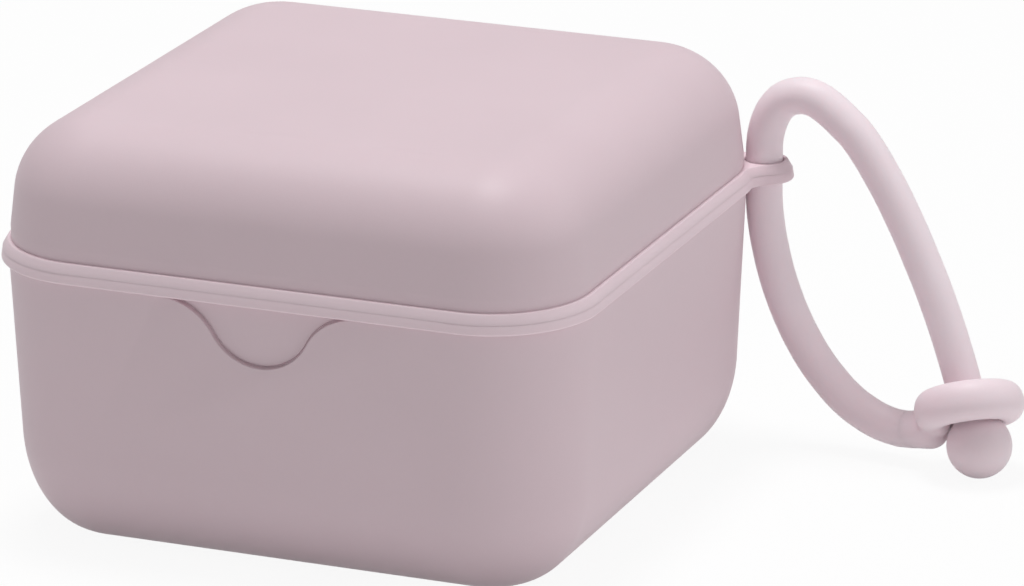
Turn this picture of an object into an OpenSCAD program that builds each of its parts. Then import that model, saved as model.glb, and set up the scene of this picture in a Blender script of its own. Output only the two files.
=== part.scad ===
// Pacifier sterilizer case: a moulded base and lift-off lid with matching flanges, a
// perforated tray that holds the pacifiers over the water, and a soft strap that is
// threaded through an ear on one corner and buttoned back on itself.
//
// Millimetres, +Z up. The origin is the middle of the underside. The front, with the
// thumb recess, faces -Y, and the ear stands on the +X +Y corner.

/* [Case] */
// Side of the square plan, over the lid's rim
case_side = 90.4; // [82:0.1:102]
// Height from the underside to the top of the lid
case_h = 62.1; // [58:0.1:75]
// Height of the plane where lid and base part
parting_h = 42.6; // [38:0.1:46]
// Thickness of the moulded walls
wall = 2; // [1.6:0.1:2.4]
// Thickness of the base's floor and of the lid's top
panel_t = 2.2; // [1.6:0.1:3]

/* [Base] */
// How far the base wall stands outside the lid wall at the rim
base_step = 0.5; // [0.3:0.05:0.8]
// Corner radius of the base wall in plan, at the rim
base_corner_r = 16; // [15:0.1:20]
// Draft of the base wall in degrees
base_draft = 2.7; // [1:0.1:3.5]
// Reach of the bottom round across the floor
base_round_w = 10.6; // [8:0.1:12]
// Height of the bottom round up the wall
base_round_h = 15.7; // [12:0.1:18]

/* [Lid] */
// Corner radius of the lid wall in plan, at the rim
lid_corner_r = 14.4; // [14.2:0.1:18]
// Draft of the lid wall in degrees
lid_draft = 7; // [4:0.1:7.5]
// Reach of the top round across the lid
lid_round_w = 12.6; // [9:0.1:12.8]
// Height of the top round down the wall
lid_round_h = 11.9; // [9:0.1:13]

/* [Rim] */
// Thickness of the lid's flange
lid_flange_t = 1.4; // [1.2:0.1:2]
// How far both flanges stand out from the lid wall
lid_flange_out = 1.2; // [0.9:0.1:2]
// Thickness of the base's flange
base_flange_t = 1.5; // [1:0.1:2]
// Thickness of the tongue that stands on the base and locates the lid
tongue_t = 1; // [0.8:0.1:1.2]
// Height of the tongue
tongue_h = 1.1; // [0.8:0.05:1.2]
// Clearance between the tongue and the rebate in the lid
tongue_gap = 0.2; // [0.15:0.01:0.3]

/* [Thumb recess] */
// Depth of the recess into the front wall
recess_depth = 0.9; // [0.5:0.05:1.2]
// How far the recess reaches down the wall from the flange
recess_drop = 8.8; // [8.5:0.1:12]
// Radius of the bowl at the recess's lower end
recess_bowl_r = 8; // [6:0.1:8.4]
// Radius of the flares where the recess opens out under the flange
recess_flare_r = 6.8; // [3:0.1:8]

/* [Ear] */
// Angle round the corner at which the ear stands, from the side that faces +X
ear_turn = 31.5; // [28:0.5:45]
// Distance from the flange's edge to the axis of the strap hole
ear_reach = 1.95; // [1.9:0.05:4]
// Radius of the ear's rounded end
ear_r = 4.4; // [4.2:0.1:6]
// Radius of the flares that join the ear to the flange
ear_flare_r = 3; // [2:0.1:5]

/* [Strap] */
// Diameter of the strap's cord
strap_d = 5.5; // [4.5:0.1:5.8]
// Clearance round the cord in the ear's hole
strap_gap = 0.2; // [0.15:0.05:0.4]
// Diameter of the ball that buttons the strap
ball_d = 9.7; // [8.8:0.1:9.9]
// Distance from the middle of the ball to the top of its neck
neck_len = 11; // [10.5:0.1:12]
// Outer diameter of the eyelet that the ball goes through
eyelet_d = 16.3; // [16.2:0.1:18]
// Thickness of the eyelet's ring
eyelet_t = 5.2; // [4.4:0.1:5.2]

/* [Tray] */
// Height of the water space under the tray
water_h = 8; // [5:0.5:12]
// Thickness of the tray's plate
tray_t = 1.6; // [1.2:0.1:2.4]
// Clearance between the tray and the base wall
tray_gap = 0.8; // [0.4:0.1:1.5]
// Height of the tray's raised edge over its plate
tray_edge_h = 2; // [1:0.1:4]
// Thickness of the tray's raised edge
tray_edge_t = 1.3; // [1:0.1:2]
// Diameter of the drain holes
drain_d = 6; // [4:0.5:8]
// Distance between the drain holes
drain_pitch = 12; // [10:0.5:16]
// Diameter of the finger hole in the middle of the tray
finger_d = 17; // [16:0.5:20]
// Diameter of the tray's feet
foot_d = 6; // [4:0.5:8]

/* [Hidden] */
$fn = 72;

// How far cutting tools run past the faces that they cut.
over = 1;
// Steps along each round of a wall section, and along a rounded flange edge.
round_steps = 12;
edge_steps = 4;
// Lead-in on the tongue.
tongue_chamfer = 0.3;
// Radii on the flange edges.
lid_edge_r = 0.5;
edge_r = 0.3;
// Share of the wall's thickness that the base's flange reaches into it.
flange_sink = 0.4;
// How far a flare cuts into the rounds that it joins, so that it meets them cleanly.
bite = 0.01;

lid_half = case_side / 2 - lid_flange_out;
base_half = lid_half + base_step;
// The corner axes of each shell stand this far from the middle along X and Y.
lid_core = lid_half - lid_corner_r;
base_core = base_half - base_corner_r;
inner_half = base_half - wall;
lid_wall_z = parting_h + lid_flange_t;
base_wall_z = parting_h - base_flange_t;

// Both flanges follow one plan, with this corner radius.
rim_corner_r = lid_corner_r + lid_flange_out;
// The hole's distance from the corner axis, and its place. The ear's root is sunk this far
// into the flange.
hole_out = rim_corner_r + ear_reach;
hole_at = [lid_core + hole_out * cos(ear_turn), lid_core + hole_out * sin(ear_turn)];
ear_root = 2.2;

// Where the round of a wall section starts, so that it leaves the drafted wall smoothly.
function round_start(draft, w, h) = atan(tan(draft) * h / w);
// Height, above the open end, at which the round starts.
function round_run(depth, draft, w, h) = depth - h + h * sin(round_start(draft, w, h));
// Distance from the middle to the edge of the flat panel that closes the section.
function panel_edge(x_open, depth, draft, w, h) =
    x_open - round_run(depth, draft, w, h) * tan(draft) - w * cos(round_start(draft, w, h));

// A drafted wall that rounds into a flat panel, as [distance from the middle, height]
// pairs from the open end to the panel. The round is a stretch of an ellipse.
function wall_line(x_open, z_open, z_panel, draft, w, h) =
    let (depth = abs(z_panel - z_open), way = sign(z_panel - z_open))
    let (start = round_start(draft, w, h), x_mid = panel_edge(x_open, depth, draft, w, h))
    concat([[x_open, z_open]],
           [for (i = [0:round_steps])
               let (a = start + (90 - start) * i / round_steps)
               [x_mid + w * cos(a), z_open + way * (depth - h + h * sin(a))]]);

// A round between two directions, as points.
function edge_round(x, z, r, from, to) =
    [for (i = [0:edge_steps])
        let (a = from + (to - from) * i / edge_steps) [x + r * cos(a), z + r * sin(a)]];

function reversed(list) = [for (i = [len(list) - 1:-1:0]) list[i]];

// Sweeps a wall section round a rounded square. The section's first number is its
// distance from the middle, and the corner axes stand at core along X and Y.
module swept_shell(section, core) {
    local = [for (p = section) [p[0] - core, p[1]]];
    for (side = [0:3])
        rotate(90 * side) translate([core, core, 0]) {
            rotate_extrude(angle = 90) polygon(local);
            rotate([90, 0, 0]) linear_extrude(2 * core) polygon(local);
        }
}

// The flat plate inside the corner axes.
module middle_plate(core, z_low, t) {
    translate([-core, -core, z_low]) cube([2 * core, 2 * core, t]);
}

// A rounded square in plan, made of true arcs.
module rounded_square(half, core) {
    square([2 * half, 2 * core], center = true);
    square([2 * core, 2 * half], center = true);
    for (x = [-core, core], y = [-core, core]) translate([x, y]) circle(half - core);
}

// A bell: a bowl whose sides flare out smoothly into the line y = 0. The bowl reaches
// up to y = reach.
module bell(bowl_r, flare_r, reach) {
    bowl_y = reach - bowl_r;
    apart = bowl_r + flare_r - bite;
    flare_x = sqrt(pow(apart, 2) - pow(bowl_y - flare_r, 2));
    touch = bowl_r / apart;
    touch_x = flare_x * touch;
    touch_y = bowl_y + (flare_r - bowl_y) * touch;
    difference() {
        union() {
            intersection() {
                translate([0, bowl_y]) circle(bowl_r);
                translate([-bowl_r, 0]) square([2 * bowl_r, reach + bowl_r]);
            }
            polygon([[-flare_x, 0], [flare_x, 0], [touch_x, touch_y], [-touch_x, touch_y]]);
        }
        for (s = [-1, 1]) translate([s * flare_x, flare_r]) circle(flare_r);
    }
}

// One ear, lying on z = 0: a round end about the strap's hole, whose sides flare smoothly
// into the flange's corner.
module ear(t) {
    to_corner = rim_corner_r + ear_flare_r - bite;
    to_hole = ear_r + ear_flare_r - bite;
    flare_x = (pow(to_corner, 2) - pow(to_hole, 2) + pow(hole_out, 2)) / (2 * hole_out);
    flare_y = sqrt(pow(to_corner, 2) - pow(flare_x, 2));
    root_x = rim_corner_r - ear_root;
    root_y = root_x * flare_y / flare_x;
    translate([lid_core, lid_core, 0]) rotate(ear_turn) linear_extrude(t) {
        translate([hole_out, 0]) circle(ear_r);
        difference() {
            polygon([[root_x, -root_y], [flare_x, -flare_y], [hole_out, 0],
                     [flare_x, flare_y], [root_x, root_y]]);
            for (y = [-flare_y, flare_y]) translate([flare_x, y]) circle(ear_flare_r);
        }
    }
}

// The strap's hole runs through both ears on one axis.
module strap_hole() {
    translate([hole_at[0], hole_at[1], base_wall_z - over])
        cylinder(h = base_flange_t + lid_flange_t + 2 * over, d = strap_d + 2 * strap_gap);
}

// The base's section: tongue, drafted wall, round and floor.
base_section = let (x_tongue = inner_half + tongue_t, z_tongue = parting_h + tongue_h)
    concat([[inner_half, z_tongue], [x_tongue - tongue_chamfer, z_tongue]],
           [[x_tongue, z_tongue - tongue_chamfer], [x_tongue, parting_h]],
           [[base_half, parting_h]],
           wall_line(base_half, base_wall_z, 0, base_draft, base_round_w, base_round_h),
           [[base_core, 0], [base_core, panel_t]],
           reversed(wall_line(inner_half, parting_h, panel_t, base_draft,
                              base_round_w - wall, base_round_h - panel_t)));

// The base's flange follows the lid's plan and is flush with the lid's flange.
base_flange_section = let (x_in = base_half - wall * flange_sink)
    let (x_out = lid_half + lid_flange_out)
    concat([[x_in, base_wall_z]],
           edge_round(x_out - edge_r, base_wall_z + edge_r, edge_r, -90, 0),
           edge_round(x_out - edge_r, parting_h - edge_r, edge_r, 0, 90),
           [[x_in, parting_h]]);

// The thumb recess, cut square to the drafted front wall from just under the flange.
module thumb_recess() {
    translate([0, -base_half, base_wall_z]) rotate([base_draft, 0, 0])
        translate([0, recess_depth, 0]) rotate([90, 0, 0]) mirror([0, 1, 0])
            linear_extrude(recess_depth + over) bell(recess_bowl_r, recess_flare_r, recess_drop);
}

module base() {
    color([0.80, 0.72, 0.75]) difference() {
        union() {
            swept_shell(base_section, base_core);
            middle_plate(base_core, 0, panel_t);
            swept_shell(base_flange_section, lid_core);
            translate([0, 0, base_wall_z]) ear(base_flange_t);
        }
        thumb_recess();
        strap_hole();
    }
}

// The lid's section: flange, drafted wall, round and top, with the inside following.
lid_section = let (x_flange = lid_half + lid_flange_out)
    let (x_inner = lid_half - wall)
    concat([[x_inner, parting_h]],
           edge_round(x_flange - edge_r, parting_h + edge_r, edge_r, -90, 0),
           edge_round(x_flange - lid_edge_r, lid_wall_z - lid_edge_r, lid_edge_r, 0, 90),
           wall_line(lid_half, lid_wall_z, case_h, lid_draft, lid_round_w, lid_round_h),
           [[lid_core, case_h], [lid_core, case_h - panel_t]],
           reversed(wall_line(x_inner, lid_wall_z, case_h - panel_t, lid_draft,
                              lid_round_w - wall, lid_round_h - panel_t)));

// The rebate in the lid's underside takes the base's tongue, and follows its plan.
module tongue_rebate() {
    half = inner_half + tongue_t + tongue_gap;
    translate([0, 0, parting_h - over]) linear_extrude(over + tongue_h + tongue_gap)
        rounded_square(half, base_core);
}

module lid() {
    color([0.84, 0.76, 0.79]) difference() {
        union() {
            swept_shell(lid_section, lid_core);
            middle_plate(lid_core, case_h - panel_t, panel_t);
            translate([0, 0, parting_h]) ear(lid_flange_t);
        }
        tongue_rebate();
        strap_hole();
    }
}

// Half the width inside the base at a height above its floor.
function inside_half(z) =
    let (w = base_round_w - wall, h = base_round_h - panel_t, depth = parting_h - panel_t)
    let (x_mid = panel_edge(inner_half, depth, base_draft, w, h))
    let (start_z = parting_h - round_run(depth, base_draft, w, h))
    z > start_z ? inner_half - (parting_h - z) * tan(base_draft)
                : x_mid + w * sqrt(1 - pow((panel_t + h - z) / h, 2));

tray_z = panel_t + water_h;
tray_half = inside_half(tray_z) - tray_gap;
tray_core = base_core;
// The feet stand on the flat part of the floor, as far into its corners as they can.
foot_gap = 0.4;
floor_edge = panel_edge(inner_half, parting_h - panel_t, base_draft,
                        base_round_w - wall, base_round_h - panel_t);
foot_xy = base_core + (floor_edge - base_core - foot_d / 2 - foot_gap) / sqrt(2);

module drain_holes() {
    reach = tray_half - tray_edge_t - drain_d;
    n = floor(reach / drain_pitch);
    for (i = [-n:n], j = [-n:n]) {
        near_foot = norm([abs(i) * drain_pitch - foot_xy, abs(j) * drain_pitch - foot_xy]);
        clear_of_finger = norm([i, j]) * drain_pitch > (finger_d + drain_d) / 2 + tray_t;
        if (near_foot > (foot_d + drain_d) / 2 + tray_t && clear_of_finger)
            translate([i * drain_pitch, j * drain_pitch]) circle(d = drain_d);
    }
    circle(d = finger_d);
}

module insert_tray() {
    color([0.88, 0.82, 0.84]) {
        translate([0, 0, tray_z]) linear_extrude(tray_t) difference() {
            rounded_square(tray_half, tray_core);
            drain_holes();
        }
        translate([0, 0, tray_z]) linear_extrude(tray_t + tray_edge_h) difference() {
            rounded_square(tray_half, tray_core);
            rounded_square(tray_half - tray_edge_t, tray_core);
        }
        for (x = [-foot_xy, foot_xy], y = [-foot_xy, foot_xy])
            translate([x, y, panel_t]) cylinder(h = water_h, d = foot_d);
    }
}

// The strap hangs in an upright plane through the ear's hole, and its two ends lie a little
// to the front of it. A point here is [distance out from the hole's axis, distance behind
// the plane, height above the ground]. A direction is given by how far it tilts back to
// the hole and how far it leans behind the plane.
strap_way = -2;
function aim(tilt, lean) = [-cos(lean) * sin(tilt), sin(lean), cos(lean) * cos(tilt)];
ball_lift = 0.1;
ball_mid = [35.6, -2.9, ball_d / 2 + ball_lift];
neck_aim = aim(22, 12.7);
// The eyelet sits on the neck, tipped a little less than the neck is.
eyelet_up = 6.2;
eyelet_aim = aim(15, 19);
// The cord runs into the eyelet through a short rounded stub.
stub_end = [27.4, -1.6, 5.9];
stub_aim = aim(-80, -8);
stub_len = 4;

function up_neck(d) = ball_mid + d * neck_aim;
stub_start = stub_end - stub_len * stub_aim;

// The cord's route between the neck and the stub: up, over, down through the ear's hole
// and back along the ground.
cord_route = concat([up_neck(neck_len)], [
    [30.3, -0.1, 18.3], [29.1, 0, 21.6], [27.8, 0, 25], [26.45, 0, 28.3], [25, 0, 31.5],
    [23.5, 0, 34.75], [21.9, 0, 37.9], [20.2, 0, 41.05], [18.4, 0, 44], [16.4, 0, 47],
    [14.2, 0, 49.7], [12.8, 0, 50.9], [11.5, 0, 52], [10.1, 0, 53], [8.5, 0, 53.9],
    [6.8, 0, 54.35], [5, 0, 54.2], [3.3, 0, 53.5], [1.95, 0, 52.2], [1, 0, 50.5],
    [0.35, 0, 48.5], [0.05, 0, 46.6], [0, 0, 44.6], [0, 0, 42.4], [0, 0, 40],
    [0.05, 0, 37.4], [0.45, 0, 33.7], [1.15, 0, 30.1], [2.1, 0, 26.5], [3.3, 0, 23.1],
    [4.75, 0, 19.8], [6.5, 0, 16.6], [8.5, 0, 13.6], [10.8, 0, 10.9], [13.4, -0.1, 8.5],
    [16.5, -0.25, 6.6], [20, -0.6, 5.4]], [stub_start]);
cord_steps = 2;
cord_sides = 12;

// A smooth curve through the route's points (Catmull-Rom), and its direction.
function at(list, i) = list[max(0, min(len(list) - 1, i))];
function curve(p0, p1, p2, p3, t) =
    0.5 * (2 * p1 + (p2 - p0) * t + (2 * p0 - 5 * p1 + 4 * p2 - p3) * t * t
           + (3 * p1 - p0 - 3 * p2 + p3) * t * t * t);
function smooth(list) = concat(
    [for (i = [0:len(list) - 2], k = [0:cord_steps - 1])
        curve(at(list, i - 1), list[i], list[i + 1], at(list, i + 2), k / cord_steps)],
    [list[len(list) - 1]]);
function unit(v) = v / norm(v);
// The end rings are square to the neck and to the stub.
function heading(list, i) =
    i == 0 ? neck_aim : i == len(list) - 1 ? stub_aim : unit(list[i + 1] - list[i - 1]);

// A round tube along a route.
module tube(route, d, sides) {
    rings = [for (i = [0:len(route) - 1])
        let (way = heading(route, i), out = unit(cross([0, 1, 0], way)), back = cross(way, out))
        [for (k = [0:sides - 1]) let (a = 360 * k / sides)
            route[i] + d / 2 * (cos(a) * out + sin(a) * back)]];
    last = len(route) - 1;
    polyhedron(points = [for (ring = rings) each ring], faces = concat(
        [[for (k = [0:sides - 1]) k]],
        [for (i = [0:last - 1], k = [0:sides - 1])
            let (n = (k + 1) % sides, a = i * sides, b = a + sides)
            each [[a + k, b + k, b + n], [a + k, b + n, a + n]]],
        [[for (k = [sides - 1:-1:0]) last * sides + k]]));
}

// Puts what is drawn in the strap's own frame where the strap hangs.
module in_strap_frame() {
    translate([hole_at[0], hole_at[1], 0]) rotate(strap_way) children();
}

// Stands what is drawn about +Z on a point, with +Z turned to a direction.
module stood(point, way) {
    translate(point) rotate([0, acos(way[2]), atan2(way[1], way[0])]) children();
}

module strap_cord() {
    color([0.90, 0.83, 0.86]) in_strap_frame() tube(smooth(cord_route), strap_d, cord_sides);
}

module strap_eyelet() {
    color([0.91, 0.84, 0.87]) in_strap_frame() {
        stood(up_neck(eyelet_up), eyelet_aim)
            rotate_extrude() translate([(eyelet_d - eyelet_t) / 2, 0]) circle(d = eyelet_t);
        // The stub, turned in one piece with its round end.
        stood(stub_start, stub_aim) rotate_extrude() intersection() {
            union() {
                square([strap_d / 2, stub_len]);
                translate([0, stub_len]) circle(d = strap_d);
            }
            square([strap_d, 2 * stub_len]);
        }
    }
}

module strap_ball() {
    color([0.86, 0.78, 0.81]) in_strap_frame() {
        translate(ball_mid) sphere(d = ball_d);
        stood(ball_mid, neck_aim) cylinder(h = neck_len, d = strap_d);
    }
}

base();
lid();
insert_tray();
strap_cord();
strap_eyelet();
strap_ball();
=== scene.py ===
"""Looks of the pacifier sterilizer case: moulded base and lid, inner tray and buttoned strap.

The pieces are in metres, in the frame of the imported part. The sizes that follow are in
millimetres. Most repeat the driving sizes of the part's source, so every piece lies where its
solid does, and the rest are of small details that only the looks have. Only the thumb recess
has a slightly wider outline and a shallower floor than the solid's.
"""

import functools
import math

import bmesh
import bpy
from mathutils import Matrix, Vector


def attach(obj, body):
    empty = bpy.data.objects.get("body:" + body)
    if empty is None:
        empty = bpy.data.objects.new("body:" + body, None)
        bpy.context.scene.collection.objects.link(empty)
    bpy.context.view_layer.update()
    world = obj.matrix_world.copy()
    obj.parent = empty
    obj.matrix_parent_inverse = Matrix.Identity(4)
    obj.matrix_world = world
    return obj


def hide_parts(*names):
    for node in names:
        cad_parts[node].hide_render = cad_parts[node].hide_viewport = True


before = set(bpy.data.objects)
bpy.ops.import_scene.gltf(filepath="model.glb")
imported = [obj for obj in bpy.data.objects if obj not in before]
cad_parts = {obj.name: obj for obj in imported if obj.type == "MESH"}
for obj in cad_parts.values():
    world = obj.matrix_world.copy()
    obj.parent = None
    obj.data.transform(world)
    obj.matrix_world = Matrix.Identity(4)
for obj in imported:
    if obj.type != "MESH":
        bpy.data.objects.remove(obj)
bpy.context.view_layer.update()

MM = 0.001

# ---------------------------------------------------------------- sizes, in millimetres
# HALF is the distance from the middle to a wall, and CORE to the centre of a corner's round.
LID_HALF, LID_CORE = 44.0, 29.6
BASE_HALF, BASE_CORE = 44.5, 28.5
WALL, PANEL = 2.0, 2.2
CASE_H, PARTING = 62.1, 42.6
LID_FLANGE_T, BASE_FLANGE_T, FLANGE_OUT = 1.4, 1.5, 1.2
LID_WALL_Z, BASE_WALL_Z = PARTING + LID_FLANGE_T, PARTING - BASE_FLANGE_T
RIM_HALF = LID_HALF + FLANGE_OUT
LID_ROUND = dict(draft=7.0, wide=12.6, high=11.9)
BASE_ROUND = dict(draft=2.7, wide=10.6, high=15.7)
TONGUE_T, TONGUE_H, TONGUE_GAP = 1.0, 1.1, 0.2
EAR_TURN, EAR_R, EAR_FLARE = math.radians(31.5), 4.4, 3.0
HOLE_OUT, HOLE_R = RIM_HALF - LID_CORE + 1.95, 2.95
HOLE = (LID_CORE + HOLE_OUT * math.cos(EAR_TURN), LID_CORE + HOLE_OUT * math.sin(EAR_TURN))
RECESS_DROP, RECESS_BOWL, RECESS_FLARE = 9.1, 8.15, 9.1
RECESS_LIP, RECESS_DEEP, CHANNEL_DEEP, CHANNEL_WIDE = 0.14, 0.68, 0.88, 0.22
TRAY_Z, TRAY_T, TRAY_GAP, TRAY_EDGE_T, TRAY_EDGE_H = 10.2, 1.6, 0.8, 1.3, 2.0
DRAIN_R, DRAIN_PITCH, FINGER_R, FOOT_R, FOOT_GAP = 3.0, 12.0, 8.5, 3.0, 0.4
STRAP_R, BALL_R, EYELET_R, RING_R, NECK_LEN = 2.75, 4.85, 5.55, 2.6, 11.0
# How wide the rounded edges are.
PARTING_EDGE, FLANGE_EDGE, HOLE_EDGE, TONGUE_EDGE = 0.04, 0.3, 0.18, 0.3
TRAY_TOP_EDGE, TRAY_LOW_EDGE, FOOT_EDGE, DRAIN_EDGE = 0.4, 0.7, 0.8, 0.45
# How far a cutter reaches past what it cuts, and how near a height has to be to count as one.
SPARE, CLOSE = 1.0, 0.01


def aim(tilt, lean):
    """A direction in the strap's frame, by how far it tips back to the hole and leans behind."""
    tilt, lean = math.radians(tilt), math.radians(lean)
    return Vector((-math.cos(lean) * math.sin(tilt), math.sin(lean),
                   math.cos(lean) * math.cos(tilt)))


# The strap's frame stands on the ground under the ear's hole. A point in it is the distance
# out from the hole, the distance behind the strap's plane, and the height.
STRAP_PLACE = Matrix.Translation((HOLE[0] * MM, HOLE[1] * MM, 0)) @ Matrix.Rotation(
    math.radians(-2), 4, "Z")
BALL_MID, NECK_AIM = Vector((35.6, -2.9, 4.95)), aim(22, 12.7)
EYELET_UP, EYELET_AIM = 5.95, aim(19, 23.5)
STUB_END, STUB_AIM, STUB_LEN = Vector((27.4, -1.6, 5.9)), aim(-80, -8), 4.0
LUMP_MID, LUMP_R = Vector((29.0, -3.0, 7.85)), 2.15
# The cord's way between its neck and its stub.
CORD_WAY = [
    (30.3, -0.1, 18.3), (29.1, 0, 21.6), (27.8, 0, 25), (26.45, 0, 28.3), (25, 0, 31.5),
    (23.5, 0, 34.75), (21.9, 0, 37.9), (20.2, 0, 41.05), (18.4, 0, 44), (16.4, 0, 47),
    (14.2, 0, 49.7), (12.8, 0, 50.9), (11.5, 0, 52), (10.1, 0, 53), (8.5, 0, 53.9),
    (6.8, 0, 54.35), (5, 0, 54.2), (3.3, 0, 53.5), (1.95, 0, 52.2), (1, 0, 50.5),
    (0.35, 0, 48.5), (0.05, 0, 46.6), (0, 0, 44.6), (0, 0, 40),
    (0.05, 0, 37.4), (0.45, 0, 33.7), (1.15, 0, 30.1), (2.1, 0, 26.5), (3.3, 0, 23.1),
    (4.75, 0, 19.8), (6.5, 0, 16.6), (8.5, 0, 13.6), (10.8, 0, 10.9), (13.4, -0.1, 8.5),
    (16.5, -0.25, 6.6), (20, -0.6, 5.4),
]

# ---------------------------------------------------------------- colours
# The pinks are written as in a paint chart, from 0 to 255.
CASE_PINK, TRAY_PINK = (223, 202, 209), (228, 209, 215)
# The second strap pink is painted shade: the strap's colour low down, near the ground.
STRAND_PINK, LOW_SHADE_PINK = (248, 232, 238), (236, 219, 225)
WHITE = (1, 1, 1, 1)
FLOOR_GREY = (0.88, 0.88, 0.88, 1)


# ---------------------------------------------------------------- modelling by hand
def clear():
    """Object mode with nothing selected."""
    if bpy.context.object and bpy.context.object.mode != "OBJECT":
        bpy.ops.object.mode_set(mode="OBJECT")
    bpy.ops.object.select_all(action="DESELECT")


def take(piece, mode="OBJECT"):
    """Only this piece is selected and active, in that mode."""
    clear()
    piece.select_set(True)
    bpy.context.view_layer.objects.active = piece
    if mode == "EDIT":
        bpy.ops.object.mode_set(mode="EDIT")


def pick(piece, kind, test):
    """Selects, in edit mode, the vertices, edges or faces that pass the test. It is given the
    middle of each, in millimetres, and the vertex, edge or face itself."""
    bpy.ops.mesh.select_mode(type=kind)
    bpy.ops.mesh.select_all(action="DESELECT")
    bm = bmesh.from_edit_mesh(piece.data)
    for part in {"VERT": bm.verts, "EDGE": bm.edges, "FACE": bm.faces}[kind]:
        if kind == "VERT":
            middle = part.co
        elif kind == "EDGE":
            middle = (part.verts[0].co + part.verts[1].co) / 2
        else:
            middle = part.calc_center_median()
        if test(middle / MM, part):
            part.select_set(True)
    bm.select_flush_mode()
    bmesh.update_edit_mesh(piece.data)


def at_height(p, z):
    return abs(p.z - z) < CLOSE


def tidy_normals(piece):
    """Every face points outwards."""
    take(piece, "EDIT")
    bpy.ops.mesh.select_all(action="SELECT")
    bpy.ops.mesh.normals_make_consistent(inside=False)
    bpy.ops.object.mode_set(mode="OBJECT")


def extrude(x, y, z):
    """Extrudes the selection by that many millimetres."""
    bpy.ops.mesh.extrude_region_move(TRANSFORM_OT_translate={"value": (x * MM, y * MM, z * MM)})


def start_line(name, x, y, z):
    """A new piece, in edit mode: one selected vertex, from which a line is drawn."""
    clear()
    bpy.ops.mesh.primitive_plane_add(size=MM, location=(x * MM, y * MM, z * MM))
    piece = bpy.context.object
    piece.name = piece.data.name = name
    bpy.ops.object.transform_apply()
    bpy.ops.object.mode_set(mode="EDIT")
    bpy.ops.mesh.select_mode(type="VERT")
    bpy.ops.mesh.select_all(action="SELECT")
    bpy.ops.mesh.merge(type="CENTER")
    bpy.ops.mesh.select_all(action="SELECT")
    return piece


def close_line():
    """Selects all, and merges the vertices where a line has come back to itself."""
    bpy.ops.mesh.select_all(action="SELECT")
    bpy.ops.mesh.remove_doubles(threshold=0.002 * MM)


def outline(name, start, runs, z):
    """A flat face at height z. One vertex travels round it from start: ("to", x, y) is a
    straight run, and ("about", x, y, degrees, steps) a turn about that centre."""
    piece = start_line(name, *start, z)
    here = Vector(start)
    for kind, x, y, *turn in runs:
        if kind == "to":
            step = Vector((x, y)) - here
            extrude(step.x, step.y, 0)
            here = Vector((x, y))
        else:
            degrees, steps = turn
            centre = Vector((x, y))
            # Spin turns clockwise for a positive angle.
            bpy.ops.mesh.spin(steps=steps, angle=-math.radians(degrees), axis=(0, 0, 1),
                              center=(x * MM, y * MM, z * MM))
            here = centre + Matrix.Rotation(math.radians(degrees), 2) @ (here - centre)
    close_line()
    bpy.ops.mesh.edge_face_add()
    bpy.ops.mesh.normals_make_consistent(inside=False)
    bm = bmesh.from_edit_mesh(piece.data)
    if sum(face.normal.z for face in bm.faces) < 0:
        bpy.ops.mesh.flip_normals()
    bpy.ops.object.mode_set(mode="OBJECT")
    return piece


def lathe(name, line, steps=64):
    """Spins a line of (radius, height) points about the Z axis."""
    piece = start_line(name, line[0][0], 0, line[0][1])
    for (r0, z0), (r1, z1) in zip(line, line[1:]):
        extrude(r1 - r0, 0, z1 - z0)
    bpy.ops.mesh.select_all(action="SELECT")
    bpy.ops.mesh.spin(steps=steps, angle=2 * math.pi, axis=(0, 0, 1), center=(0, 0, 0))
    close_line()
    tidy_normals(piece)
    return piece


def sweep(start, end, steps):
    """The angles from start to end in even steps, with both ends."""
    return [start + (end - start) * i / steps for i in range(steps + 1)]


def square_runs(half, core, steps=32):
    """The runs of a rounded square, anticlockwise from its right side's lower end."""
    runs = []
    for x, y in ((1, 1), (-1, 1), (-1, -1), (1, -1)):
        end = (half * x, core * y) if x * y > 0 else (core * x, half * y)
        runs.append(("to", *end))
        runs.append(("about", core * x, core * y, 90, steps))
    return runs


def rounded_square(name, half, core, z):
    return outline(name, (half, -core), square_runs(half, core), z)


def eared_square(name, half, core, z):
    """A rounded square with the strap's ear on its +X +Y corner: the flare, the round end
    about the hole and the other flare run smoothly into one another. A smaller one is the
    rim's outline drawn in all round, about the same centres."""
    to_corner, to_hole = RIM_HALF - core + EAR_FLARE, EAR_R + EAR_FLARE
    at_corner = math.acos((to_corner**2 + HOLE_OUT**2 - to_hole**2) / (2 * to_corner * HOLE_OUT))
    at_hole = math.acos((to_hole**2 + HOLE_OUT**2 - to_corner**2) / (2 * to_hole * HOLE_OUT))
    at_flare = math.degrees(math.pi - at_corner - at_hole)
    before, after = EAR_TURN - at_corner, EAR_TURN + at_corner
    flares = [Vector((core, core)) + to_corner * Vector((math.cos(a), math.sin(a)))
              for a in (before, after)]
    runs = [("to", half, core), ("about", core, core, math.degrees(before), 4),
            ("about", *flares[0], -at_flare, 12),
            ("about", *HOLE, 360 - 2 * math.degrees(at_hole), 44),
            ("about", *flares[1], -at_flare, 12),
            ("about", core, core, 90 - math.degrees(after), 14)]
    return outline(name, (half, -core), runs + square_runs(half, core)[2:], z)


def thicken(piece, height):
    """Extrudes the piece's only face straight up or down."""
    take(piece, "EDIT")
    bpy.ops.mesh.select_mode(type="FACE")
    bpy.ops.mesh.select_all(action="SELECT")
    extrude(0, 0, height)
    bpy.ops.object.mode_set(mode="OBJECT")


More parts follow.
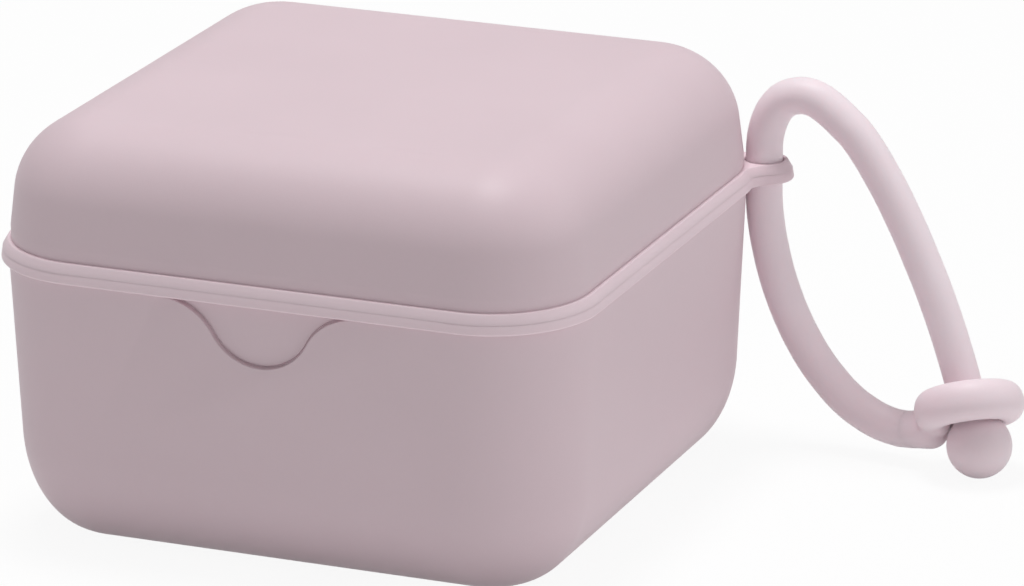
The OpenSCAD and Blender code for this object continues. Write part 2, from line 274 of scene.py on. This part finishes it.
def draw_in(piece, line):
    """Insets the piece's end face along a wall line of (distance, height) points, so that the
    outline follows the line all round."""
    take(piece, "EDIT")
    pick(piece, "FACE", lambda p, f: abs(f.normal.z) > 0.9 and at_height(p, line[0][1]))
    for (x0, z0), (x1, z1) in zip(line, line[1:]):
        bpy.ops.mesh.inset(thickness=(x0 - x1) * MM, depth=0, use_even_offset=True)
        bpy.ops.transform.translate(value=(0, 0, (z1 - z0) * MM))
    bpy.ops.object.mode_set(mode="OBJECT")
    tidy_normals(piece)


def soften(piece, width, segments, test):
    """Rounds the edges that pass the test."""
    take(piece, "EDIT")
    pick(piece, "EDGE", test)
    bpy.ops.mesh.bevel(offset=width * MM, segments=segments, affect="EDGES", profile=0.5)
    bpy.ops.object.mode_set(mode="OBJECT")


def modify(piece, kind, **settings):
    """Gives the active piece a modifier and applies it."""
    modifier = piece.modifiers.new(kind.lower(), kind)
    for name, value in settings.items():
        setattr(modifier, name, value)
    bpy.ops.object.modifier_apply(modifier=modifier.name)


def combine(piece, other, operation):
    """Applies a boolean of the other piece, which is then deleted."""
    take(piece)
    modify(piece, "BOOLEAN", operation=operation, solver="MANIFOLD", object=other)
    take(other)
    bpy.ops.object.delete()
    take(piece)


def rod(name, radius, low, high, x=0.0, y=0.0, sides=48):
    """An upright cylinder between two heights."""
    clear()
    bpy.ops.mesh.primitive_cylinder_add(vertices=sides, radius=radius * MM,
                                        depth=(high - low) * MM,
                                        location=(x * MM, y * MM, (low + high) / 2 * MM))
    piece = bpy.context.object
    piece.name = name
    bpy.ops.object.transform_apply()
    return piece


def sphere(name, radius, segments):
    """A sphere about the origin, not yet in its place."""
    clear()
    bpy.ops.mesh.primitive_uv_sphere_add(segments=segments, ring_count=segments // 2,
                                         radius=radius * MM)
    piece = bpy.context.object
    piece.name = name
    return piece


def copies(piece, moves):
    """Copies of the piece, each with its own mesh and moved by one of the matrices."""
    made = []
    for move in moves:
        take(piece)
        bpy.ops.object.duplicate(linked=False)
        copy = bpy.context.object
        copy.matrix_world = move
        bpy.ops.object.transform_apply()
        made.append(copy)
    return made


def join(pieces):
    clear()
    for piece in pieces:
        piece.select_set(True)
    bpy.context.view_layer.objects.active = pieces[0]
    bpy.ops.object.join()
    return pieces[0]


def finish_shape(piece, crease=32):
    """Merges stray doubles, smooths the shading and leaves sharp creases where faces turn."""
    take(piece, "EDIT")
    bpy.ops.mesh.select_all(action="SELECT")
    bpy.ops.mesh.remove_doubles(threshold=0.0002 * MM)
    bpy.ops.object.mode_set(mode="OBJECT")
    bpy.ops.object.shade_smooth_by_angle(angle=math.radians(crease))
    return piece


# ---------------------------------------------------------------- both shells
def wall_line(x_open, z_open, z_panel, draft, wide, high, steps=28):
    """A drafted wall that rounds into a flat panel, as (distance from the middle, height)."""
    depth, way = abs(z_panel - z_open), 1 if z_panel > z_open else -1
    slope = math.tan(math.radians(draft))
    start = math.atan(slope * high / wide)
    x_mid = x_open - (depth - high + high * math.sin(start)) * slope - wide * math.cos(start)
    return [(x_open, z_open)] + [
        (x_mid + wide * math.cos(a), z_open + way * (depth - high + high * math.sin(a)))
        for a in sweep(start, math.pi / 2, steps)]


def inside_line(half, z_open, z_panel, draft, wide, high):
    """The line of a shell's inside, a wall's thickness in from half and its outer round. Its
    panel's inner side is at z_panel."""
    return wall_line(half - WALL, z_open, z_panel, draft, wide - WALL, high - PANEL)


def from_hole(p):
    return math.hypot(p.x - HOLE[0], p.y - HOLE[1])


def is_level(edge):
    return abs(edge.verts[0].co.z - edge.verts[1].co.z) < 0.0001 * MM


def is_outer(p, edge):
    """An edge of a flange's outline, where a steep face begins, away from the strap's hole."""
    away, steep = HOLE_R + 0.6, 0.4
    return from_hole(p) > away and any(abs(f.normal.z) < steep for f in edge.link_faces)


def make_flange(name, z_low, line):
    """A flange with its ear. Its edge follows a line of (distance, height) points upwards, so
    its face can lean and round over. The strap's hole is cut and its lips are rounded."""
    flange = eared_square(name, line[0][0], LID_CORE, z_low)
    thicken(flange, line[0][1] - z_low)
    draw_in(flange, line)
    hole = rod("hole", HOLE_R, z_low - SPARE, line[-1][1] + SPARE, *HOLE, sides=64)
    combine(flange, hole, "DIFFERENCE")
    near = HOLE_R + 0.1
    soften(flange, HOLE_EDGE, 4, lambda p, e: from_hole(p) < near and is_level(e))
    soften(flange, PARTING_EDGE, 2, lambda p, e: at_height(p, PARTING) and is_outer(p, e))
    return flange


# ---------------------------------------------------------------- lid
def flange_face():
    """The lid's flange from its foot up: a face that leans back and then rounds over."""
    foot_in, foot_up, top_in, turn, lean = 0.19, 0.1, 0.83, 0.3, 30
    return [(RIM_HALF - foot_in, PARTING + foot_up)] + [
        (RIM_HALF - top_in - turn + turn * math.cos(a), LID_WALL_Z - turn + turn * math.sin(a))
        for a in sweep(math.radians(lean), math.pi / 2, 7)]


def make_lid():
    lid = make_flange("lid_shell", PARTING, flange_face())
    # Just above the flange the wall draws in, as a fine groove all round. The body starts
    # there with a thin band, from which the wall goes up and the groove down into the flange.
    groove_h, groove_in, curve, steps, band = 1.9, 0.075, 1.7, 10, 0.05
    foot = LID_HALF - groove_h * math.tan(math.radians(LID_ROUND["draft"]))
    foot_z = LID_WALL_Z + groove_h
    body = rounded_square("body", foot, LID_CORE, foot_z - band)
    thicken(body, band)
    draw_in(body, [(foot, foot_z)] + wall_line(LID_HALF, LID_WALL_Z, CASE_H, **LID_ROUND)[1:])
    draw_in(body, [(foot - groove_in * (i / steps)**curve, foot_z - band - groove_h * i / steps)
                   for i in range(steps + 3)])
    combine(lid, body, "UNION")
    cavity = rounded_square("cavity", LID_HALF - WALL, LID_CORE, PARTING - SPARE)
    thicken(cavity, LID_FLANGE_T + SPARE)
    draw_in(cavity, inside_line(LID_HALF, LID_WALL_Z, CASE_H - PANEL, **LID_ROUND))
    combine(lid, cavity, "DIFFERENCE")
    rebate_half = BASE_HALF - WALL + TONGUE_T + TONGUE_GAP
    rebate = rounded_square("rebate", rebate_half, BASE_CORE, PARTING - SPARE)
    thicken(rebate, SPARE + TONGUE_H + TONGUE_GAP)
    combine(lid, rebate, "DIFFERENCE")
    return finish_shape(lid)


# ---------------------------------------------------------------- base
def make_recess():
    """The cutter of the thumb recess: a bowl whose sides flare out, with a small rounded lip
    and a fine channel along its foot. It is drawn lying flat, from outside the wall inwards,
    and then stood against the drafted front wall, just under the flange."""
    bowl_y = RECESS_BOWL - RECESS_DROP
    apart = RECESS_BOWL + RECESS_FLARE
    across = math.sqrt(apart**2 - (bowl_y + RECESS_FLARE)**2)
    bend = 90 - math.degrees(math.asin((bowl_y + RECESS_FLARE) / apart))
    # The tips end a hair below the flange, and the cutter's straight top lies inside it.
    tip, top, wide = -RECESS_LIP - 0.03, 1.2, across + RECESS_LIP
    cutter = outline("recess", (wide, top), [
        ("to", wide, tip), ("to", across, tip),
        ("about", across, -RECESS_FLARE, bend, 22), ("about", 0, bowl_y, -2 * bend, 60),
        ("about", -across, -RECESS_FLARE, bend, 22),
        ("to", -wide, tip), ("to", -wide, top), ("to", wide, top)], SPARE)
    thicken(cutter, -SPARE)
    corner, rise = 0.08, 0.06
    draw_in(cutter, [
        *((RECESS_LIP * (1 - math.sin(a)), -RECESS_LIP * (1 - math.cos(a)))
          for a in sweep(0, math.pi / 2, 5)),
        (0, corner - CHANNEL_DEEP), (-corner, -CHANNEL_DEEP), (-CHANNEL_WIDE, -CHANNEL_DEEP),
        (-CHANNEL_WIDE - rise, -RECESS_DEEP - corner),
        (-CHANNEL_WIDE - rise - corner, -RECESS_DEEP)])
    stand = Matrix.Rotation(math.radians(90 + BASE_ROUND["draft"]), 4, "X")
    cutter.matrix_world = Matrix.Translation((0, -BASE_HALF * MM, BASE_WALL_Z * MM)) @ stand
    take(cutter)
    bpy.ops.object.transform_apply()
    return cutter


def make_base():
    # The wall's top end lies inside the flange, and the tongue's root inside both.
    wall_top, tongue_root = PARTING - 0.4, PARTING - 0.7
    base = rounded_square("base_shell", BASE_HALF, BASE_CORE, wall_top)
    thicken(base, BASE_WALL_Z - wall_top)
    draw_in(base, wall_line(BASE_HALF, BASE_WALL_Z, 0, **BASE_ROUND))
    combine(base, make_recess(), "DIFFERENCE")
    flange_foot, lean_in = 0.35, 0.2
    flange = make_flange("flange", BASE_WALL_Z, [(RIM_HALF, BASE_WALL_Z + flange_foot),
                                                 (RIM_HALF - lean_in, PARTING)])
    soften(flange, FLANGE_EDGE, 5, lambda p, e: at_height(p, BASE_WALL_Z) and is_outer(p, e))
    combine(base, flange, "UNION")
    tongue = rounded_square("tongue", BASE_HALF - WALL + TONGUE_T, BASE_CORE, tongue_root)
    thicken(tongue, PARTING + TONGUE_H - tongue_root)
    soften(tongue, TONGUE_EDGE, 3, lambda p, e: at_height(p, PARTING + TONGUE_H))
    combine(base, tongue, "UNION")
    cavity = rounded_square("cavity", BASE_HALF - WALL, BASE_CORE, PARTING + TONGUE_H + SPARE)
    thicken(cavity, -TONGUE_H - SPARE)
    draw_in(cavity, inside_line(BASE_HALF, PARTING, PANEL, **BASE_ROUND))
    combine(base, cavity, "DIFFERENCE")
    return finish_shape(base)


# ---------------------------------------------------------------- tray
def make_tray():
    floor_edge = inside_line(BASE_HALF, PARTING, PANEL, **BASE_ROUND)[-1][0]
    # The plate leaves an even gap to the base's inner round, at the height of its underside.
    wide, high = BASE_ROUND["wide"] - WALL, BASE_ROUND["high"] - PANEL
    half = floor_edge + wide * math.sqrt(1 - ((PANEL + high - TRAY_Z) / high)**2) - TRAY_GAP
    plate_top, edge_top = TRAY_Z + TRAY_T, TRAY_Z + TRAY_T + TRAY_EDGE_H
    tray = rounded_square("tray", half, BASE_CORE, TRAY_Z)
    thicken(tray, TRAY_T + TRAY_EDGE_H)
    take(tray, "EDIT")
    pick(tray, "FACE", lambda p, f: f.normal.z > 0.9)
    bpy.ops.mesh.inset(thickness=TRAY_EDGE_T * MM, depth=0, use_even_offset=True)
    extrude(0, 0, -TRAY_EDGE_H)
    tidy_normals(tray)
    soften(tray, TRAY_TOP_EDGE, 4, lambda p, e: at_height(p, edge_top))
    soften(tray, TRAY_LOW_EDGE, 5, lambda p, e: at_height(p, TRAY_Z))
    # Four feet stand near the corners of the base's floor.
    foot_at = BASE_CORE + (floor_edge - BASE_CORE - FOOT_R - FOOT_GAP) / math.sqrt(2)
    in_plate = 0.6
    foot = rod("foot", FOOT_R, PANEL, TRAY_Z + in_plate, foot_at, foot_at)
    soften(foot, FOOT_EDGE, 5, lambda p, e: at_height(p, PANEL))
    others = copies(foot, [Matrix.Rotation(quarters * math.pi / 2, 4, "Z")
                           for quarters in (1, 2, 3)])
    combine(tray, join([foot, *others]), "UNION")
    # The drains are a five by five grid, less its corners and the five that the finger hole
    # takes the place of.
    spots = [(i * DRAIN_PITCH, j * DRAIN_PITCH) for i in range(-2, 3) for j in range(-2, 3)
             if math.hypot(i, j) > 1.1 and abs(i * j) < 4]
    drain = rod("drain", DRAIN_R, TRAY_Z - SPARE, plate_top + SPARE)
    drains = copies(drain, [Matrix.Translation((x * MM, y * MM, 0)) for x, y in spots])
    take(drain)
    bpy.ops.object.delete()
    finger = rod("finger", FINGER_R, TRAY_Z - SPARE, plate_top + SPARE, sides=72)
    combine(tray, join([finger, *drains]), "DIFFERENCE")
    # The middle of a short straight edge lies a little inside its hole's circle.
    holes, inside = [(0, 0, FINGER_R)] + [(x, y, DRAIN_R) for x, y in spots], 0.05
    soften(tray, DRAIN_EDGE, 4, lambda p, e: is_level(e) and any(
        abs(math.hypot(p.x - x, p.y - y) - r) < inside for x, y, r in holes))
    return finish_shape(tray)


# ---------------------------------------------------------------- strap
def up_neck(distance):
    return BALL_MID + distance * NECK_AIM


def in_row(point):
    """A point of the strap's frame, in the part's frame, in metres."""
    return STRAP_PLACE @ (Vector(point) * MM)


def set_down(piece, point, way):
    """Turns a piece made about the Z axis to a direction in the strap's frame, and puts it at
    the point."""
    turn = Vector((0, 0, 1)).rotation_difference(way).to_matrix().to_4x4()
    piece.matrix_world = STRAP_PLACE @ Matrix.Translation(point * MM) @ turn
    take(piece)
    bpy.ops.object.transform_apply()


def make_cord():
    """One strand from inside the ball, up through the eyelet, over, down through both ears and
    back along the ground into the eyelet's side. Its end and its length come with it."""
    way = [in_row(point) for point in [up_neck(3), up_neck(NECK_LEN), *CORD_WAY,
                                       STUB_END - STUB_LEN * STUB_AIM, STUB_END]]
    clear()
    bpy.ops.curve.primitive_bezier_curve_add()
    cord = bpy.context.object
    cord.name = cord.data.name = "strap_strand"
    cord.matrix_world = Matrix.Identity(4)
    spline = cord.data.splines[0]
    spline.bezier_points.add(len(way) - 2)
    for point, place in zip(spline.bezier_points, way):
        point.co = place
        point.handle_left_type = point.handle_right_type = "AUTO"
    spline.use_smooth = True
    cord.data.dimensions = "3D"
    cord.data.resolution_u = 8
    cord.data.bevel_depth = STRAP_R * MM
    cord.data.bevel_resolution = 10
    cord.data.use_fill_caps = True
    return cord, way[-1], sum((b - a).length for a, b in zip(way, way[1:]))


def make_ball():
    """The ball, with the small collar where the strand runs into it."""
    fillet, neck = 1.3, STRAP_R - 0.03
    rise = math.sqrt((BALL_R + fillet)**2 - (neck + fillet)**2)
    meet = math.atan2(neck + fillet, rise)
    ball = lathe("strap_button", [
        *((BALL_R * math.sin(a), BALL_R * math.cos(a)) for a in sweep(math.pi, meet, 32)),
        *((neck + fillet - fillet * math.sin(a), rise - fillet * math.cos(a))
          for a in sweep(meet, math.pi / 2, 8)[1:]),
        (0, rise)])
    set_down(ball, BALL_MID, NECK_AIM)
    return finish_shape(ball, 40)


def squarish(share, power=0.92):
    """A cosine or sine, raised so that the section it draws is a little squarer than round."""
    return math.copysign(abs(share)**power, share)


def make_eyelet():
    """The thick ring, the root of the strand on its side and a small lump between them, melted
    together."""
    half_high, root_extra, overlap, slimmer = 3.0, 0.17, 1.0, 0.925
    ring = lathe("strap_eyelet_ring", [
        (EYELET_R + RING_R * squarish(math.cos(a)), half_high * squarish(math.sin(a)))
        for a in sweep(0, 2 * math.pi, 48)], 96)
    set_down(ring, up_neck(EYELET_UP), EYELET_AIM)
    # The root has a round end in the ring, and gets slimmer along the strand.
    root = sphere("root", STRAP_R + root_extra, 48)
    take(root, "EDIT")
    pick(root, "VERT", lambda p, v: p.z < -1e-4)
    bpy.ops.transform.translate(value=(0, 0, -(STUB_LEN + overlap) * MM))
    bpy.ops.transform.resize(value=(slimmer, slimmer, 1))
    bpy.ops.object.mode_set(mode="OBJECT")
    set_down(root, STUB_END, STUB_AIM)
    combine(ring, root, "UNION")
    lump = sphere("lump", LUMP_R, 40)
    set_down(lump, LUMP_MID, EYELET_AIM)
    combine(ring, lump, "UNION")
    modify(ring, "REMESH", mode="VOXEL", voxel_size=0.22 * MM)
    modify(ring, "SMOOTH", factor=0.5, iterations=12)
    bpy.ops.object.shade_smooth()
    return ring


# ---------------------------------------------------------------- finishes
class Value:
    """The output of a node. Python's operators on it add Math nodes."""

    def __init__(self, finish, socket):
        self.finish, self.socket = finish, socket

    def beside(self, output):
        """Another output of the same node."""
        return Value(self.finish, self.socket.node.outputs[output])

    def maths(self, operation, *others, swapped=False):
        values = [self, *others]
        if swapped:
            values.reverse()
        return self.finish.add("ShaderNodeMath", dict(operation=operation),
                               dict(enumerate(values)))

    def __add__(self, other):
        return self.maths("ADD", other)

    def __sub__(self, other):
        return self.maths("SUBTRACT", other)

    def __rsub__(self, other):
        return self.maths("SUBTRACT", other, swapped=True)

    def __mul__(self, other):
        return self.maths("MULTIPLY", other)

    __radd__, __rmul__ = __add__, __mul__


class Finish:
    """The nodes of one material, or of the world."""

    def __init__(self, owner):
        owner.use_nodes = True
        self.owner, self.tree = owner, owner.node_tree
        self.tree.nodes.clear()

    def add(self, kind, settings, inputs, output=0):
        """Adds a node: its settings are set first, then its sockets are given values or links.
        The chosen output comes back, from a node that has any."""
        node = self.tree.nodes.new(kind)
        for name, value in settings.items():
            setattr(node, name, value)
        for socket, value in inputs.items():
            if isinstance(value, Value):
                self.tree.links.new(value.socket, node.inputs[socket])
            else:
                node.inputs[socket].default_value = value
        return Value(self, node.outputs[output]) if node.outputs else None

    @functools.cached_property
    def place(self):
        """Where a point of the piece is, in the part's frame."""
        return self.add("ShaderNodeTexCoord", {}, {}, "Object")

    def height(self):
        return self.add("ShaderNodeSeparateXYZ", {}, {0: self.place}, "Z")

    def noise(self, scale, detail=2.0, roughness=0.5):
        return self.add("ShaderNodeTexNoise", {}, {
            "Vector": self.place, "Scale": scale, "Detail": detail, "Roughness": roughness},
            "Fac")

    def tint(self, amount, low, high):
        """A colour between two others, by an amount that varies over the surface. A Mix node
        has its two colours at sockets 6 and 7, and the mixed one at output 2."""
        return self.add("ShaderNodeMix", dict(data_type="RGBA"), {0: amount, 6: low, 7: high}, 2)

    def grain(self, strength, relief):
        return self.add("ShaderNodeBump", {}, {"Strength": strength, "Distance": 0.06 * MM,
                                               "Height": relief}, "Normal")

    def mix(self, amount, one, other):
        """One shader where the amount is 0, the other where it is 1."""
        return self.add("ShaderNodeMixShader", {}, {0: amount, 1: one, 2: other})


def colour(red, green, blue, share=1.0):
    """A colour written as in a paint chart, 0 to 255, made linear and scaled by a share."""
    chart = (red / 255, green / 255, blue / 255)
    linear = [c / 12.92 if c <= 0.04045 else ((c + 0.055) / 1.055)**2.4 for c in chart]
    return (*(c * share for c in linear), 1.0)


def moulded_plastic(name, pink):
    """Matt moulded polypropylene: a fine and a coarser spark-eroded grain, and a faint mottle
    in its colour and gloss, as the melt leaves it."""
    finish = Finish(bpy.data.materials.new(name))
    mottle = finish.noise(45, 3)
    speck = finish.noise(1500, 2, 0.6)
    # The thin rim is painted paler than the walls: painted light, standing in for the glow of
    # light through the thin flanges. It is all that lies between the two flanges' outer sides,
    # and a hair more.
    rim_glow_share, hair = 0.15, 0.05
    glow_band = finish.height().maths("COMPARE", (LID_WALL_Z + BASE_WALL_Z) / 2 * MM,
                                ((LID_WALL_Z - BASE_WALL_Z) / 2 + hair) * MM)
    deep, light = (finish.tint(glow_band, colour(*pink, share), colour(*pink, share + rim_glow_share))
                   for share in (0.965, 1.035))
    shader = finish.add("ShaderNodeBsdfPrincipled", {}, {
        "Base Color": finish.tint(mottle * 0.75 + speck * 0.25, deep, light),
        "Roughness": 0.5 + 0.12 * (mottle - 0.5) + 0.06 * (speck - 0.5),
        "IOR": 1.49, "Specular IOR Level": 0.35,
        "Subsurface Weight": 0.15, "Subsurface Radius": (0.0022, 0.0018, 0.0018),
        "Subsurface Scale": 1.0,
        "Normal": finish.grain(0.25, finish.noise(3200, 2, 0.65) * 0.6 +
                               finish.noise(900) * 0.4)})
    finish.add("ShaderNodeOutputMaterial", {}, {"Surface": shader})
    return finish.owner


def silicone(name, pink, shade_pink):
    """Satin silicone: softer light in its depth, a finer skin and a dusting of lint-fine grain.
    Low down, from 22 mm towards 8 mm above the ground, the colour darkens to a deeper pink:
    painted shade near the ground, over the thick ring and ball."""
    finish = Finish(bpy.data.materials.new(name))
    mottle = finish.noise(110, 3)
    speck = finish.noise(2200, 2, 0.6)
    # Painted shade: below 22 mm the colour fades towards the deeper pink, fully so at 8 mm above
    # the ground.
    out_of_shade = finish.add("ShaderNodeMapRange", {}, {"Value": finish.height(), "From Min": 8 * MM,
                                                 "From Max": 22 * MM})
    deep, light = (finish.tint(out_of_shade, colour(*shade_pink, share), colour(*pink, share))
                   for share in (0.97, 1.03))
    shader = finish.add("ShaderNodeBsdfPrincipled", {}, {
        "Base Color": finish.tint(mottle * 0.7 + speck * 0.3, deep, light),
        "Roughness": 0.46 + 0.14 * (mottle - 0.5) + 0.06 * (speck - 0.5),
        "IOR": 1.42, "Specular IOR Level": 0.4,
        "Subsurface Weight": 0.3, "Subsurface Radius": (0.0024, 0.0019, 0.0019),
        "Subsurface Scale": 1.0, "Sheen Weight": 0.08, "Sheen Roughness": 0.5,
        "Normal": finish.grain(0.18, finish.noise(2600, 2, 0.55) * 0.5 +
                               finish.noise(500) * 0.5)})
    finish.add("ShaderNodeOutputMaterial", {}, {"Surface": shader})
    return finish.owner


# ---------------------------------------------------------------- room
def set_camera():
    """The photograph's viewpoint, as an angle round the case, a height, a tilt and a lens."""
    azimuth, height, tilt = math.radians(22.34), math.radians(18.34), math.radians(-0.29)
    target, distance = Vector((20.07, 0, 32.03)) * MM, 0.93397
    back = Vector((math.sin(azimuth) * math.cos(height), -math.cos(azimuth) * math.cos(height),
                   math.sin(height)))
    right = Vector((math.cos(azimuth), math.sin(azimuth), 0))
    across = right * math.cos(tilt) + back.cross(right) * math.sin(tilt)
    turn = Matrix((across, back.cross(across), back)).transposed().to_4x4()
    bpy.ops.object.camera_add()
    camera = bpy.context.object
    camera.name = "camera"
    camera.matrix_world = Matrix.Translation(target + back * distance) @ turn
    camera.data.sensor_width, camera.data.lens = 36, 227.35
    camera.data.clip_start, camera.data.clip_end = 0.05, 20
    bpy.context.scene.camera = camera


def make_floor():
    """A pale floor that keeps the object's shadow. The camera, gloss and clear things see it
    nearly white, so that the backdrop is white."""
    clear()
    bpy.ops.mesh.primitive_plane_add(size=6, location=(0, 0, 0))
    floor = bpy.context.object
    floor.name = "floor"
    finish = Finish(bpy.data.materials.new("pale_floor"))
    lit = finish.add("ShaderNodeBsdfPrincipled", {}, {
        "Base Color": FLOOR_GREY, "Roughness": 0.9, "Specular IOR Level": 0.1})
    white = finish.add("ShaderNodeEmission", {}, {"Color": WHITE, "Strength": 1.0})
    ray = finish.add("ShaderNodeLightPath", {}, {}, "Is Camera Ray")
    seen = ray.maths("MAXIMUM", ray.beside("Is Glossy Ray")).maths(
        "MAXIMUM", ray.beside("Is Transmission Ray"))
    finish.add("ShaderNodeOutputMaterial", {}, {"Surface": finish.mix(seen * 0.92, lit, white)})
    floor.data.materials.append(finish.owner)


def lamp(name, size, power, place, facing):
    """A round soft lamp: its diameter, its power in watts, and the point that it faces."""
    clear()
    bpy.ops.object.light_add(type="AREA", location=place)
    light = bpy.context.object
    light.name = name
    light.data.shape, light.data.size, light.data.energy = "DISK", size, power
    light.rotation_euler = (Vector(facing) - Vector(place)).to_track_quat("-Z", "Y").to_euler()


def light_up():
    """Two lamps, and a room that lights the object softly and that the camera sees white."""
    room = Finish(bpy.data.worlds.new("studio"))
    soft = room.add("ShaderNodeBackground", {}, {"Color": WHITE, "Strength": 0.34})
    white = room.add("ShaderNodeBackground", {}, {"Color": WHITE, "Strength": 1.0})
    ray = room.add("ShaderNodeLightPath", {}, {}, "Is Camera Ray")
    room.add("ShaderNodeOutputWorld", {}, {"Surface": room.mix(ray, soft, white)})
    bpy.context.scene.world = room.owner
    lamp("overhead", 0.32, 7.1, (-0.06, 0.07, 1.1), (0, 0, 0.03))
    lamp("side", 0.8, 1.8, (1.0, 0.07, 0.4), (0.02, 0, 0.03))


# ---------------------------------------------------------------- the case
def dress(piece, node, body, material):
    """The piece stands for the node, rides on its body and takes the finish."""
    piece.data.materials.clear()
    piece.data.materials.append(material)
    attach(piece, body)
    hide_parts(node)


set_camera()
cord, cord_end, cord_length = make_cord()
case_plastic = moulded_plastic("case_matt", CASE_PINK)
tray_plastic = moulded_plastic("tray_matt", TRAY_PINK)
strap_silicone = silicone("satin_silicone", STRAND_PINK, LOW_SHADE_PINK)
dress(make_lid(), "lid", "case_lid", case_plastic)
dress(make_base(), "base", "case_base", case_plastic)
dress(make_tray(), "insert_tray", "tray", tray_plastic)
eyelet, ball = make_eyelet(), make_ball()
dress(cord, "strap_cord", "strap", strap_silicone)
dress(eyelet, "strap_eyelet", "strap", strap_silicone)
dress(ball, "strap_ball", "strap", strap_silicone)
make_floor()
light_up()
bpy.context.scene.view_settings.view_transform = "Standard"
